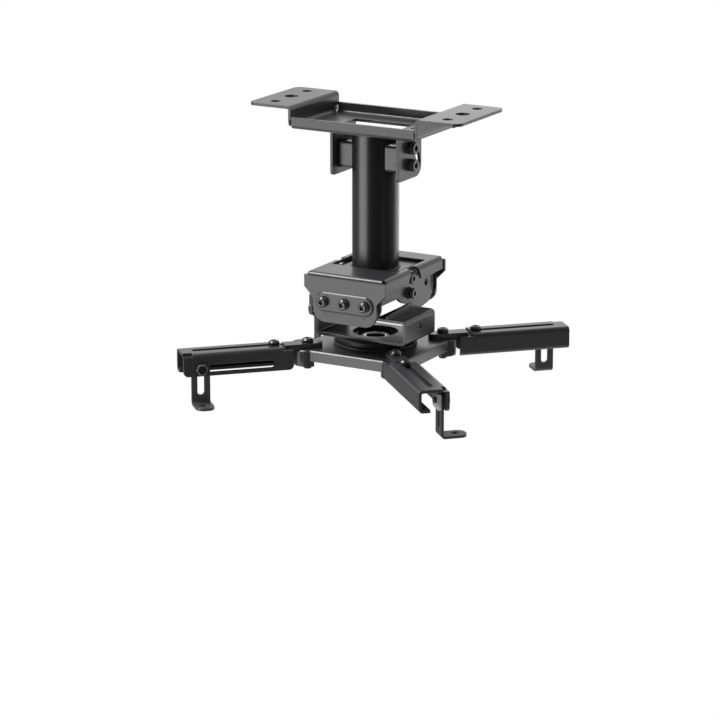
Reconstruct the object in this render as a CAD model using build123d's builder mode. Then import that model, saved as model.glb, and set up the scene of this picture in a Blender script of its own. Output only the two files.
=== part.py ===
from build123d import *
from math import cos, radians, sin
import os

# Ceiling mount with a tilting post, a roll and pitch head, and four swinging arms with feet.
# Millimetres, Z up, origin on the post axis in the ceiling plane, front of the mount towards -Y.

# Sheet and clearances
sheet = 2.4
bend = 3.6
gap = 0.1
pin_fit = 0.05
slot_play = 0.2

# Ceiling bracket
ear_inner = 58.5
ear_outer = 95.7
bracket_depth = 78.0
ear_corner = 6.0
tray_drop = 18.4
lip_height = 9.6
lip_span = 111.4
lip_relief = 1.5
ceiling_hole_x = 78.2
ceiling_hole_pitch = 50.2
ceiling_hole_d = 8.4
ceiling_big_hole_d = 11.6
cable_window_x = 53.0
cable_window_y = 30.0
earth_hole_d = 4.0
earth_hole_x = 34.0
tab_outer = 31.3
tab_width = 38.0
tab_bottom = -57.0
tab_front_round = 3.0
tab_rear_round = 9.0

# Tilting post
post_r = 19.0
post_wall = 2.0
post_top = -22.6
tilt_z = -45.7
tilt_lock_radius = 13.9
tilt_range = 90.0
tilt_screw_d = 6.0
tilt_head_d = 10.0
tilt_head_h = 5.5
tilt_socket_d = 5.6
block_width = 24.0
block_height = 24.0
block_drop = 1.2
block_round = 4.0

# Upper yoke
yoke_top = -130.0
yoke_depth = 102.0
yoke_top_x = 67.0
yoke_width = 74.6
shoulder_top = -132.7
shoulder_bottom = -142.4
tongue_width = 58.4
tongue_bottom = -170.0
tongue_round = 11.0
side_outer = 36.5
side_bottom = -140.5
side_depth = 94.4
yoke_window_x = 60.0
yoke_window_front = -19.5
yoke_window_back = 29.5
notch_top = 4.5
notch_bottom = 11.0
notch_reach = 30.9
pad_height = 14.0
pad_rise = 1.5
foot_plate_x = 49.0
foot_plate_y = 76.0
foot_plate_shift = 4.0

# Roll and pitch head
roll_z = -153.0
roll_lock_radius = 18.7
roll_range = 3.0
head_screw_d = 5.0
head_screw_head_d = 8.5
head_screw_head_h = 4.0
head_socket_d = 4.6
head_chamfer = 0.5
button_chamfer = 1.2
socket_share = 0.55
nut_flats = 8.0
nut_h = 4.0
cradle_outer = 31.3
cradle_strip_top = -137.5
cradle_strip_bottom = -144.0
cradle_front_bottom = -151.8
cradle_bump_top = -134.3
cradle_bump_width = 15.0
cradle_end_top = -139.0
cradle_end_bottom = -166.0
cradle_end_round = 12.0
lobe_z = -131.2
lobe_r = 28.3
pitch_z = -151.0
pitch_lock_radius = 12.2
pitch_range = 8.0
pitch_head_h = 4.0
pitch_washer_d = 10.0
pitch_washer_h = 1.0

# Swivel tray
tray_width = 82.6
tray_depth = 50.0
tray_top = -168.5
tray_bottom = -189.2
tray_flange_inner = 14.0
tray_hole_d = 37.0
tray_wall_hole_d = 5.2
tray_wall_hole_z = -177.0
ear_rear = 43.0
ear_front = -12.0
ear_neck = 7.0
ear_boss_top = -134.2
ear_hole_y = 32.8
ear_hole_z = -149.4
ear_hole_d = 5.5

# Swivel and hub
disc_r = 32.0
disc_h = 4.2
disc_recess_r = 15.0
disc_recess_h = 2.2
disc_chamfer = 0.5
ring_r = 34.0
ring_h = 2.8
boss_r = 9.6
boss_bore_r = 8.2
boss_lip_r = 11.2
boss_lip_h = 1.2
boss_foot_r = 14.0
boss_foot_h = 2.0
hub_half = 49.0
hub_cut = 14.6
hub_flange_bottom = -205.3
hub_bend = 2.2
hub_arm_half = 11.2
hub_arm_bottom = -210.0
pivot_radius = 57.3
pivot_bolt_d = 6.0
pivot_head_d = 9.4
pivot_head_h = 3.4
pivot_nut_flats = 10.0
pivot_nut_h = 5.0
pivot_tip = -213.6

# Arms
arm_names = ("front", "right", "back", "left")
arm_angles = (-45.0, 45.0, 135.0, 225.0)
link_nose = 45.0
link_step = 77.5
link_end = 150.0
link_width = 12.0
link_height = 4.3
link_tongue = 1.7
clamp_radius = 85.4
clamp_bolt_d = 5.0
clamp_head_d = 9.2
clamp_head_h = 3.4
arm_inner = 69.0
slotted_inner = 72.0
arm_outer = 163.0
arm_plain = -12.0
arm_slotted = 13.0
arm_plain_height = 18.3
arm_slotted_height = 18.5
arm_lip = 9.5
arm_lip_relief = 4.0
arm_notch = 7.6
flange_inner = 80.5
arm_notch_across = 7.5
arm_notch_drop = 2.2
arm_corner = 4.0
top_slot_start = 82.2
top_slot_end = 153.5
top_slot_w = 5.6
side_slot_start = 87.3
side_slot_end = 152.2
side_slot_w = 6.2
side_slot_drop = 12.5

# Feet
foot_radius = 148.5
foot_bolt_d = 5.0
foot_head_flats = 8.4
foot_head_h = 3.5
foot_width = 15.2
foot_sheet = 2.2
foot_top_margin = 2.1
foot_bottom = -234.6
foot_slot_w = 5.8
foot_slot_bottom = -226.7
toe_reach = 20.2
toe_hole_d = 6.8
toe_hole_from_plate = 11.6
clamp_plate = 16.0
clamp_plate_h = 13.0

# Levels that follow from the sizes above
hub_top = tray_bottom - gap - disc_h - gap - ring_h
link_bottom = hub_top + gap
link_top = link_bottom + link_height
tongue_top = link_bottom + link_tongue
flange_bottom = tongue_top + gap
arm_top = flange_bottom + sheet
slot_z = arm_top - side_slot_drop
tongue_face = yoke_depth / 2
cradle_face = tongue_face - sheet - gap
tab_inner = tab_outer - sheet
cradle_inner = cradle_outer - sheet
ear_face = cradle_inner - gap
tilt_lock_z = tilt_z + tilt_lock_radius
pitch_lock_z = pitch_z + pitch_lock_radius
yoke_under = yoke_top - sheet
foot_plate_bottom = yoke_under - sheet

front_back = (-1, 1)
sides = (-1, 1)

# Planes whose local x runs along +Y and local y along +Z, facing +X
def side_plane(x):
    return Plane(origin=(x, 0, 0), x_dir=(0, 1, 0), z_dir=(1, 0, 0))


# Planes whose local x runs along +X and local y along +Z, facing -Y
def face_plane(y):
    return Plane(origin=(0, y, 0), x_dir=(1, 0, 0), z_dir=(0, -1, 0))


# Directions along and across an arm
def along(angle):
    return Vector(cos(radians(angle)), sin(radians(angle)), 0)


def across(angle):
    return Vector(-sin(radians(angle)), cos(radians(angle)), 0)


# Arm section plane: local x across the arm, local y up, facing outward
def section_plane(angle, radius):
    return Plane(origin=along(angle) * radius, x_dir=across(angle), z_dir=along(angle))


# Plan view of an arm: local x along the arm, local y across it
def plan_plane(angle, z):
    return Plane(origin=(0, 0, z), x_dir=along(angle), z_dir=(0, 0, 1))


# Side view of an arm: local x along the arm, local y up, facing the plain wall
def wall_plane(angle, offset):
    return Plane(origin=across(angle) * offset, x_dir=along(angle), z_dir=across(angle) * -1)


def save(builder, label):
    builder.part.label = label
    export_step(builder.part, "parts/" + label + ".step")


os.makedirs("parts", exist_ok=True)

# Ceiling bracket: one folded sheet with ears, a dropped tray and two tilt tabs
wall_x = ear_inner - sheet
floor_z = sheet - tray_drop
with BuildPart() as ceiling_bracket:
    with BuildSketch(Plane.XZ):
        with BuildLine():
            FilletPolyline(
                (-ear_outer, 0),
                (-wall_x, 0),
                (-wall_x, floor_z),
                (wall_x, floor_z),
                (wall_x, 0),
                (ear_outer, 0),
                radius=bend,
            )
            offset(amount=sheet, side=Side.RIGHT)
        make_face()
    extrude(amount=bracket_depth / 2, both=True)
    fillet(ceiling_bracket.edges().filter_by(Axis.Z).group_by(SortBy.LENGTH)[0], radius=ear_corner)
    # Ceiling holes
    with Locations((-ceiling_hole_x, 0, -sheet / 2), (ceiling_hole_x, 0, -sheet / 2)):
        Cylinder(ceiling_big_hole_d / 2, 2 * sheet, mode=Mode.SUBTRACT)
        with GridLocations(0, ceiling_hole_pitch, 1, 2):
            Cylinder(ceiling_hole_d / 2, 2 * sheet, mode=Mode.SUBTRACT)
    # Room for the up-turned lips
    with Locations((0, 0, floor_z)):
        with GridLocations(0, bracket_depth, 1, 2):
            Box(lip_span + 2 * lip_relief, 4 * bend, 4 * sheet, mode=Mode.SUBTRACT)
    for way in front_back:
        with BuildSketch(side_plane(-lip_span / 2)):
            with BuildLine():
                FilletPolyline(
                    (way * (bracket_depth / 2 - 3 * bend), -tray_drop),
                    (way * bracket_depth / 2, -tray_drop),
                    (way * bracket_depth / 2, lip_height - tray_drop),
                    radius=bend,
                )
                offset(amount=sheet, side=Side.LEFT if way > 0 else Side.RIGHT)
            make_face()
        extrude(amount=lip_span)
    # Cable window and earth hole in the tray floor
    with BuildSketch(Plane.XY.offset(-tray_drop)):
        RectangleRounded(cable_window_x, cable_window_y, 2)
        with Locations((earth_hole_x, 0)):
            Circle(earth_hole_d / 2)
    extrude(amount=sheet, mode=Mode.SUBTRACT)
    # Tilt tabs with a pivot hole and a one-sided arc slot
    for way in sides:
        with BuildSketch(side_plane(way * tab_outer)) as tab:
            with Locations((0, (tab_bottom - tray_drop + sheet) / 2)):
                Rectangle(tab_width, -tray_drop + sheet - tab_bottom)
            fillet(tab.vertices().group_by(Axis.Y)[0].sort_by(Axis.X)[0], tab_front_round)
            fillet(tab.vertices().group_by(Axis.Y)[0].sort_by(Axis.X)[-1], tab_rear_round)
            with Locations((0, tilt_z)):
                Circle(tilt_screw_d / 2 + pin_fit, mode=Mode.SUBTRACT)
            with BuildLine(mode=Mode.PRIVATE) as slot_line:
                CenterArc((0, tilt_z), tilt_lock_radius, 90 - tilt_range - 2, tilt_range + 4)
            SlotArc(slot_line.edges()[0], tilt_screw_d + slot_play, mode=Mode.SUBTRACT)
        extrude(amount=-way * sheet)
save(ceiling_bracket, "ceiling_bracket")

# Post tube
with BuildPart() as post_tube:
    with BuildSketch(Plane.XY.offset(yoke_under)):
        Circle(post_r)
        Circle(post_r - post_wall, mode=Mode.SUBTRACT)
    extrude(amount=post_top - yoke_under)
    with BuildSketch(side_plane(0)):
        with Locations((0, tilt_z), (0, tilt_lock_z)):
            Circle(tilt_screw_d / 2 + pin_fit)
    extrude(amount=post_r + 1, both=True, mode=Mode.SUBTRACT)
save(post_tube, "post_tube")

# Post side blocks carrying the tilt screws
block_z = (tilt_z + tilt_lock_z) / 2 - block_drop
with BuildPart() as post_blocks:
    for way in sides:
        with BuildSketch(side_plane(way * (tab_inner - gap))):
            with Locations((0, block_z)):
                RectangleRounded(block_width, block_height, block_round)
            with Locations((0, tilt_z), (0, tilt_lock_z)):
                Circle(tilt_screw_d / 2 + pin_fit, mode=Mode.SUBTRACT)
        extrude(amount=-way * (tab_inner - gap - post_r / 2))
    with BuildSketch(Plane.XY.offset(block_z)):
        Circle(post_r + pin_fit)
    extrude(amount=block_height, both=True, mode=Mode.SUBTRACT)
save(post_blocks, "post_blocks")


# Socket-head screw along X on both sides, head on the outside
def side_screws(z, face, head_d, head_h, shank_d, shank_end, socket_d):
    with BuildPart() as screws:
        for way in sides:
            with BuildSketch(side_plane(way * face)):
                with Locations((0, z)):
                    Circle(head_d / 2)
            extrude(amount=way * head_h)
            with BuildSketch(side_plane(way * face)):
                with Locations((0, z)):
                    Circle(shank_d / 2)
            extrude(amount=-way * (face - shank_end))
            with BuildSketch(side_plane(way * (face + head_h))):
                with Locations((0, z)):
                    RegularPolygon(socket_d / 2, 6)
            extrude(amount=-way * head_h * socket_share, mode=Mode.SUBTRACT)
        rims = screws.edges().filter_by(GeomType.CIRCLE)
        chamfer(rims.group_by(Axis.X)[-1] + rims.group_by(Axis.X)[0], head_chamfer)
    return screws


tilt_face = tab_outer + gap
tilt_inner_end = post_r - post_wall + slot_play
tilt_pivots = side_screws(
    tilt_z, tilt_face, tilt_head_d, tilt_head_h, tilt_screw_d, tilt_inner_end, tilt_socket_d
)
save(tilt_pivots, "tilt_pivot_screws")
tilt_locks = side_screws(
    tilt_lock_z, tilt_face, tilt_head_d, tilt_head_h, tilt_screw_d, tilt_inner_end, tilt_socket_d
)
save(tilt_locks, "tilt_lock_screws")

# Foot plate welded under the post, seated below the yoke's window
with BuildPart() as post_foot_plate:
    with BuildSketch(Plane.XY.offset(foot_plate_bottom)):
        with Locations((0, foot_plate_shift)):
            RectangleRounded(foot_plate_x, foot_plate_y, 3)
        Circle(post_r - post_wall, mode=Mode.SUBTRACT)
    extrude(amount=sheet)
save(post_foot_plate, "post_foot_plate")

# Upper yoke: top plate, front and back tongues, short side flanges
with BuildPart() as upper_yoke:
    with BuildSketch(side_plane(-yoke_width / 2)):
        with BuildLine():
            FilletPolyline(
                (-tongue_face, tongue_bottom),
                (-tongue_face, yoke_top),
                (tongue_face, yoke_top),
                (tongue_face, tongue_bottom),
                radius=bend,
            )
            offset(amount=sheet, side=Side.RIGHT)
        make_face()
    extrude(amount=yoke_width)
    with BuildSketch(face_plane(tongue_face + 1)) as outline:
        with BuildLine():
            Polyline(
                (0, yoke_top + 1),
                (yoke_top_x / 2, yoke_top + 1),
                (yoke_top_x / 2, shoulder_top),
                (yoke_width / 2, shoulder_top),
                (yoke_width / 2, shoulder_bottom),
                (tongue_width / 2, shoulder_bottom - (yoke_width - tongue_width) / 2),
                (tongue_width / 2, tongue_bottom),
                (0, tongue_bottom),
                (0, yoke_top + 1),
            )
        make_face()
        mirror(about=Plane.YZ)
        fillet(outline.vertices().group_by(Axis.Y)[0], tongue_round)
    extrude(amount=2 * tongue_face + 2, mode=Mode.INTERSECT)
    # Window round the post
    with BuildSketch(Plane.XY.offset(yoke_under)):
        with Locations((0, (yoke_window_front + yoke_window_back) / 2)):
            RectangleRounded(yoke_window_x, yoke_window_back - yoke_window_front, 2)
    extrude(amount=sheet, mode=Mode.SUBTRACT)
    # Side flanges
    for way in sides:
        with BuildSketch(face_plane(side_depth / 2)):
            with BuildLine():
                FilletPolyline(
                    (way * (notch_reach + 1), yoke_top),
                    (way * side_outer, yoke_top),
                    (way * side_outer, side_bottom),
                    radius=bend,
                )
                offset(amount=sheet, side=Side.RIGHT if way > 0 else Side.LEFT)
            make_face()
        extrude(amount=side_depth)
        # Notch that clears the upper pitch screw
        with BuildSketch(side_plane(way * notch_reach)):
            with BuildLine():
                Polyline(
                    (-notch_top, yoke_top + 2),
                    (notch_top, yoke_top + 2),
                    (notch_bottom, side_bottom - 0.1),
                    (-notch_bottom, side_bottom - 0.1),
                    close=True,
                )
            make_face()
        extrude(amount=way * 10, mode=Mode.SUBTRACT)
    # Raised pads under the roll screws, and their holes
    for way in front_back:
        with BuildSketch(face_plane(way * tongue_face)):
            with Locations((0, roll_z)):
                SlotCenterToCenter(2 * roll_lock_radius, pad_height)
        extrude(amount=-way * pad_rise)
    with BuildSketch(face_plane(0)):
        with Locations((-roll_lock_radius, roll_z), (0, roll_z), (roll_lock_radius, roll_z)):
            Circle(head_screw_d / 2 + pin_fit)
    extrude(amount=tongue_face + 5, both=True, mode=Mode.SUBTRACT)
save(upper_yoke, "upper_yoke")


# Socket-head screws along Y through both tongues, heads outside
def tongue_screws(xs):
    with BuildPart() as screws:
        for way in front_back:
            head_face = tongue_face + pad_rise
            with BuildSketch(face_plane(way * head_face)):
                with Locations(*[(x, roll_z) for x in xs]):
                    Circle(head_screw_head_d / 2)
            extrude(amount=-way * head_screw_head_h)
            with BuildSketch(face_plane(way * head_face)):
                with Locations(*[(x, roll_z) for x in xs]):
                    Circle(head_screw_d / 2)
            extrude(amount=way * (head_face - cradle_face + sheet + gap + nut_h + 1))
            with BuildSketch(face_plane(way * (head_face + head_screw_head_h))):
                with Locations(*[(x, roll_z) for x in xs]):
                    RegularPolygon(head_socket_d / 2, 6)
            extrude(amount=way * head_screw_head_h * socket_share, mode=Mode.SUBTRACT)
        rims = screws.edges().filter_by(GeomType.CIRCLE)
        chamfer(rims.group_by(Axis.Y)[-1] + rims.group_by(Axis.Y)[0], button_chamfer)
    return screws


save(tongue_screws((0,)), "roll_pivot_screws")
save(tongue_screws((-roll_lock_radius, roll_lock_radius)), "roll_lock_screws")

# Nuts behind the roll cradle's end plates
with BuildPart() as roll_nuts:
    for way in front_back:
        with BuildSketch(face_plane(way * (cradle_face - sheet - gap))):
            with Locations((-roll_lock_radius, roll_z), (0, roll_z), (roll_lock_radius, roll_z)):
                RegularPolygon(nut_flats / 2, 6, major_radius=False)
                Circle(head_screw_d / 2 + pin_fit, mode=Mode.SUBTRACT)
        extrude(amount=way * nut_h)
save(roll_nuts, "roll_nuts")

# Roll cradle: folded frame with two end plates and two lobed sides
with BuildPart() as roll_cradle:
    for way in front_back:
        with BuildSketch(face_plane(way * cradle_face)) as end_plate:
            with Locations((0, (cradle_end_top + cradle_end_bottom) / 2)):
                Rectangle(2 * cradle_outer, cradle_end_top - cradle_end_bottom)
            fillet(end_plate.vertices().group_by(Axis.Y)[0], cradle_end_round)
            with Locations((0, roll_z)):
                Circle(head_screw_d / 2 + pin_fit, mode=Mode.SUBTRACT)
            for start in (0, 180):
                with BuildLine(mode=Mode.PRIVATE) as slot_line:
                    CenterArc((0, roll_z), roll_lock_radius, start - roll_range - 1, 2 * roll_range + 2)
                SlotArc(slot_line.edges()[0], head_screw_d + slot_play, mode=Mode.SUBTRACT)
        extrude(amount=way * sheet)
    for way in sides:
        with BuildSketch(side_plane(way * cradle_outer)):
            with Locations((0, lobe_z)):
                Circle(lobe_r)
            with Locations((0, cradle_strip_top + lobe_r)):
                Rectangle(2 * cradle_face, 2 * lobe_r, mode=Mode.SUBTRACT)
            with Locations((0, (cradle_strip_top + cradle_strip_bottom) / 2)):
                Rectangle(2 * cradle_face, cradle_strip_top - cradle_strip_bottom)
            # Front half of the strip is deeper
            with Locations((-cradle_face / 2, (cradle_strip_top + cradle_front_bottom) / 2)):
                Rectangle(cradle_face, cradle_strip_top - cradle_front_bottom)
            with Locations((0, (cradle_strip_top + cradle_bump_top) / 2)):
                Rectangle(cradle_bump_width, cradle_bump_top - cradle_strip_top)
            with Locations((0, pitch_z)):
                Circle(head_screw_d / 2 + pin_fit, mode=Mode.SUBTRACT)
            with BuildLine(mode=Mode.PRIVATE) as slot_line:
                CenterArc((0, pitch_z), pitch_lock_radius, 90 - pitch_range - 1, 2 * pitch_range + 2)
            SlotArc(slot_line.edges()[0], head_screw_d + slot_play, mode=Mode.SUBTRACT)
        extrude(amount=-way * sheet)
    corners = roll_cradle.edges().filter_by(Axis.Z).filter_by(lambda e: abs(e.center().X) > cradle_inner)
    fillet(corners.filter_by(lambda e: abs(e.center().Y) > cradle_face - gap), sheet * 0.8)
save(roll_cradle, "roll_cradle")

# Pitch screws and the washers under the pivots
pitch_face = cradle_outer + gap
ear_inside = ear_face - sheet
pitch_pivots = side_screws(
    pitch_z,
    pitch_face + pitch_washer_h,
    head_screw_head_d,
    pitch_head_h,
    head_screw_d,
    ear_inside - 0.8,
    head_socket_d,
)
save(pitch_pivots, "pitch_pivot_screws")
pitch_locks = side_screws(
    pitch_lock_z, pitch_face, head_screw_head_d, pitch_head_h, head_screw_d, ear_inside - 0.8, head_socket_d
)
save(pitch_locks, "pitch_lock_screws")
with BuildPart() as pitch_washers:
    for way in sides:
        with BuildSketch(side_plane(way * pitch_face)):
            with Locations((0, pitch_z)):
                Circle(pitch_washer_d / 2)
                Circle(head_screw_d / 2 + pin_fit, mode=Mode.SUBTRACT)
        extrude(amount=way * pitch_washer_h)
save(pitch_washers, "pitch_washers")

# Swivel tray: folded channel with inward flanges and upright pitch ears
tray_x = tray_width / 2
with BuildPart() as swivel_tray:
    with BuildSketch(face_plane(tray_depth / 2)):
        with BuildLine():
            FilletPolyline(
                (tray_flange_inner, tray_top),
                (tray_x, tray_top),
                (tray_x, tray_bottom),
                (-tray_x, tray_bottom),
                (-tray_x, tray_top),
                (-tray_flange_inner, tray_top),
                radius=bend,
            )
            offset(amount=sheet, side=Side.RIGHT)
        make_face()
    extrude(amount=tray_depth)
    for way in sides:
        with BuildSketch(side_plane(way * ear_face)):
            with BuildLine():
                Polyline(
                    (ear_neck, tray_top - sheet),
                    (tray_depth / 2, tray_top - sheet),
                    (tray_depth / 2, tray_top),
                    (ear_rear - 6, tray_top + 2),
                    (ear_rear, tray_top + 8),
                    (ear_rear, pitch_z + 8),
                    (cradle_bump_width / 2, pitch_z + 12),
                    (cradle_bump_width / 2 - 2, ear_boss_top),
                    (2 - cradle_bump_width / 2, ear_boss_top),
                    (ear_front, pitch_z + 9),
                    (ear_front, pitch_z - 4.5),
                    (ear_neck, pitch_z - 8),
                    close=True,
                )
            make_face()
            with Locations((0, pitch_z), (0, pitch_lock_z)):
                Circle(head_screw_d / 2 + pin_fit, mode=Mode.SUBTRACT)
            with Locations((ear_hole_y, ear_hole_z)):
                Circle(ear_hole_d / 2, mode=Mode.SUBTRACT)
        extrude(amount=-way * sheet)
    with BuildSketch(Plane.XY.offset(tray_bottom)):
        Circle(tray_hole_d / 2)
    extrude(amount=2 * sheet, mode=Mode.SUBTRACT)
    with BuildSketch(side_plane(0)):
        with Locations((0, tray_wall_hole_z)):
            Circle(tray_wall_hole_d / 2)
    extrude(amount=tray_x + 1, both=True, mode=Mode.SUBTRACT)
save(swivel_tray, "swivel_tray")

# Swivel disc under the tray, recessed for the boss lip
disc_top = tray_bottom
with BuildPart() as swivel_disc:
    with BuildSketch(Plane.XY.offset(disc_top - disc_h)):
        Circle(disc_r)
        Circle(boss_r + pin_fit, mode=Mode.SUBTRACT)
    extrude(amount=disc_h)
    with BuildSketch(Plane.XY.offset(disc_top)):
        Circle(disc_recess_r)
    extrude(amount=-disc_recess_h, mode=Mode.SUBTRACT)
    chamfer(swivel_disc.edges().filter_by(GeomType.CIRCLE).sort_by(SortBy.RADIUS)[-2:], disc_chamfer)
save(swivel_disc, "swivel_disc")

# Bearing ring fixed on the hub
with BuildPart() as swivel_ring:
    with BuildSketch(Plane.XY.offset(hub_top)):
        Circle(ring_r)
        Circle(boss_r + pin_fit, mode=Mode.SUBTRACT)
    extrude(amount=ring_h)
    chamfer(swivel_ring.edges().filter_by(GeomType.CIRCLE).sort_by(SortBy.RADIUS)[-2:], disc_chamfer)
save(swivel_ring, "swivel_ring")

# Hollow boss that ties the disc to the hub
boss_top = disc_top - disc_recess_h + gap + boss_lip_h
with BuildPart() as swivel_boss:
    with BuildSketch(Plane.XY.offset(hub_top - sheet - boss_foot_h)):
        Circle(boss_foot_r)
    extrude(amount=boss_foot_h)
    with BuildSketch(Plane.XY.offset(hub_top - sheet)):
        Circle(boss_r)
    extrude(amount=boss_top - hub_top + sheet)
    with BuildSketch(Plane.XY.offset(boss_top)):
        Circle(boss_lip_r)
    extrude(amount=-boss_lip_h)
    with BuildSketch(Plane.XY.offset(boss_top)):
        Circle(boss_bore_r)
    extrude(amount=hub_top - sheet - boss_foot_h - boss_top, mode=Mode.SUBTRACT)
save(swivel_boss, "swivel_boss")

# Hub: square pressing with four corner arms, hollow below, round at the arm pivots
with BuildPart() as hub:
    with BuildSketch(Plane.XY.offset(hub_flange_bottom)) as hub_plan:
        Rectangle(2 * hub_half, 2 * hub_half)
        chamfer(hub_plan.vertices(), hub_cut)
    extrude(amount=hub_top - hub_flange_bottom)
    with BuildSketch(Plane.XY.offset(hub_arm_bottom)):
        for turn in (45, 135):
            SlotCenterToCenter(2 * pivot_radius, 2 * hub_arm_half, rotation=turn)
    extrude(amount=hub_top - hub_arm_bottom)
    chamfer(hub.faces().sort_by(Axis.Z)[-1].edges(), hub_bend * 0.5)
    # Hollow underside, one sheet inside the rim
    with BuildSketch(Plane.XY.offset(hub_top - sheet)) as hub_hollow:
        Rectangle(2 * (hub_half - sheet), 2 * (hub_half - sheet))
        chamfer(hub_hollow.vertices(), hub_cut)
        for turn in (45, 135):
            SlotCenterToCenter(2 * pivot_radius, 2 * (hub_arm_half - sheet), rotation=turn)
    extrude(amount=hub_arm_bottom - hub_top, mode=Mode.SUBTRACT)
    with BuildSketch(Plane.XY.offset(hub_flange_bottom)):
        Rectangle(2 * (hub_half - hub_cut), 2 * (hub_half - hub_cut))
    extrude(amount=hub_arm_bottom - hub_flange_bottom, mode=Mode.SUBTRACT)
    with BuildSketch(Plane.XY.offset(hub_top)):
        with PolarLocations(pivot_radius, 4, start_angle=45):
            Circle(pivot_bolt_d / 2 + pin_fit)
        Circle(boss_r + pin_fit)
    extrude(amount=-sheet, mode=Mode.SUBTRACT)
save(hub, "hub")

# Arm pivot bolts and nuts
pivot_spots = [along(angle) * pivot_radius for angle in arm_angles]
with BuildPart() as pivot_bolts:
    with BuildSketch(Plane.XY.offset(link_top + gap)):
        with Locations(*pivot_spots):
            Circle(pivot_head_d / 2)
    extrude(amount=pivot_head_h)
    chamfer(pivot_bolts.faces().sort_by(Axis.Z)[-4:].edges(), button_chamfer)
    with BuildSketch(Plane.XY.offset(link_top + gap + pivot_head_h)):
        with Locations(*pivot_spots):
            RegularPolygon(head_socket_d / 2, 6)
    extrude(amount=-pivot_head_h * socket_share, mode=Mode.SUBTRACT)
    with BuildSketch(Plane.XY.offset(pivot_tip)):
        with Locations(*pivot_spots):
            Circle(pivot_bolt_d / 2)
    extrude(amount=link_top + gap - pivot_tip)
save(pivot_bolts, "arm_pivot_bolts")
with BuildPart() as pivot_nuts:
    with BuildSketch(Plane.XY.offset(hub_top - sheet - pivot_nut_h)):
        with Locations(*pivot_spots):
            RegularPolygon(pivot_nut_flats / 2, 6, major_radius=False)
            Circle(pivot_bolt_d / 2 + pin_fit, mode=Mode.SUBTRACT)
    extrude(amount=pivot_nut_h)
save(pivot_nuts, "arm_pivot_nuts")


# Link: stepped bar from the hub corner into the arm
def make_link(angle):
    with BuildPart() as link:
        with BuildSketch(plan_plane(angle, link_bottom)):
            with Locations(((link_nose + link_end) / 2, 0)):
                SlotOverall(link_end - link_nose, link_width)
            with Locations((pivot_radius, 0)):
                Circle(pivot_bolt_d / 2 + pin_fit, mode=Mode.SUBTRACT)
            with Locations((clamp_radius, 0)):
                Circle(clamp_bolt_d / 2 + pin_fit, mode=Mode.SUBTRACT)
        extrude(amount=link_height)
        with BuildSketch(plan_plane(angle, tongue_top)):
            with Locations(((link_step + link_end) / 2, 0)):
                Rectangle(link_end - link_step, 2 * link_width)
        extrude(amount=link_height, mode=Mode.SUBTRACT)
    return link


# Clamp bolt through the arm's top slot, with the nut below the link
def make_clamp_bolt(angle):
    with BuildPart() as bolt:
        with BuildSketch(plan_plane(angle, arm_top + gap)):
            with Locations((clamp_radius, 0)):
                Circle(clamp_head_d / 2)
        extrude(amount=clamp_head_h)
        chamfer(bolt.faces().sort_by(Axis.Z)[-1].edges(), button_chamfer)
        with BuildSketch(plan_plane(angle, arm_top + gap + clamp_head_h)):
            with Locations((clamp_radius, 0)):
                RegularPolygon(head_socket_d / 2, 6)
        extrude(amount=-clamp_head_h * socket_share, mode=Mode.SUBTRACT)
        with BuildSketch(plan_plane(angle, arm_top + gap)):
            with Locations((clamp_radius, 0)):
                Circle(clamp_bolt_d / 2)
        extrude(amount=link_bottom - nut_h - 1.5 - arm_top - gap)
    return bolt


def make_clamp_nut(angle):
    with BuildPart() as nut:
        with BuildSketch(plan_plane(angle, link_bottom - nut_h)):
            with Locations((clamp_radius, 0)):
                RegularPolygon(nut_flats / 2, 6, major_radius=False)
                Circle(clamp_bolt_d / 2 + pin_fit, mode=Mode.SUBTRACT)
        extrude(amount=nut_h)
    return nut


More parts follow.
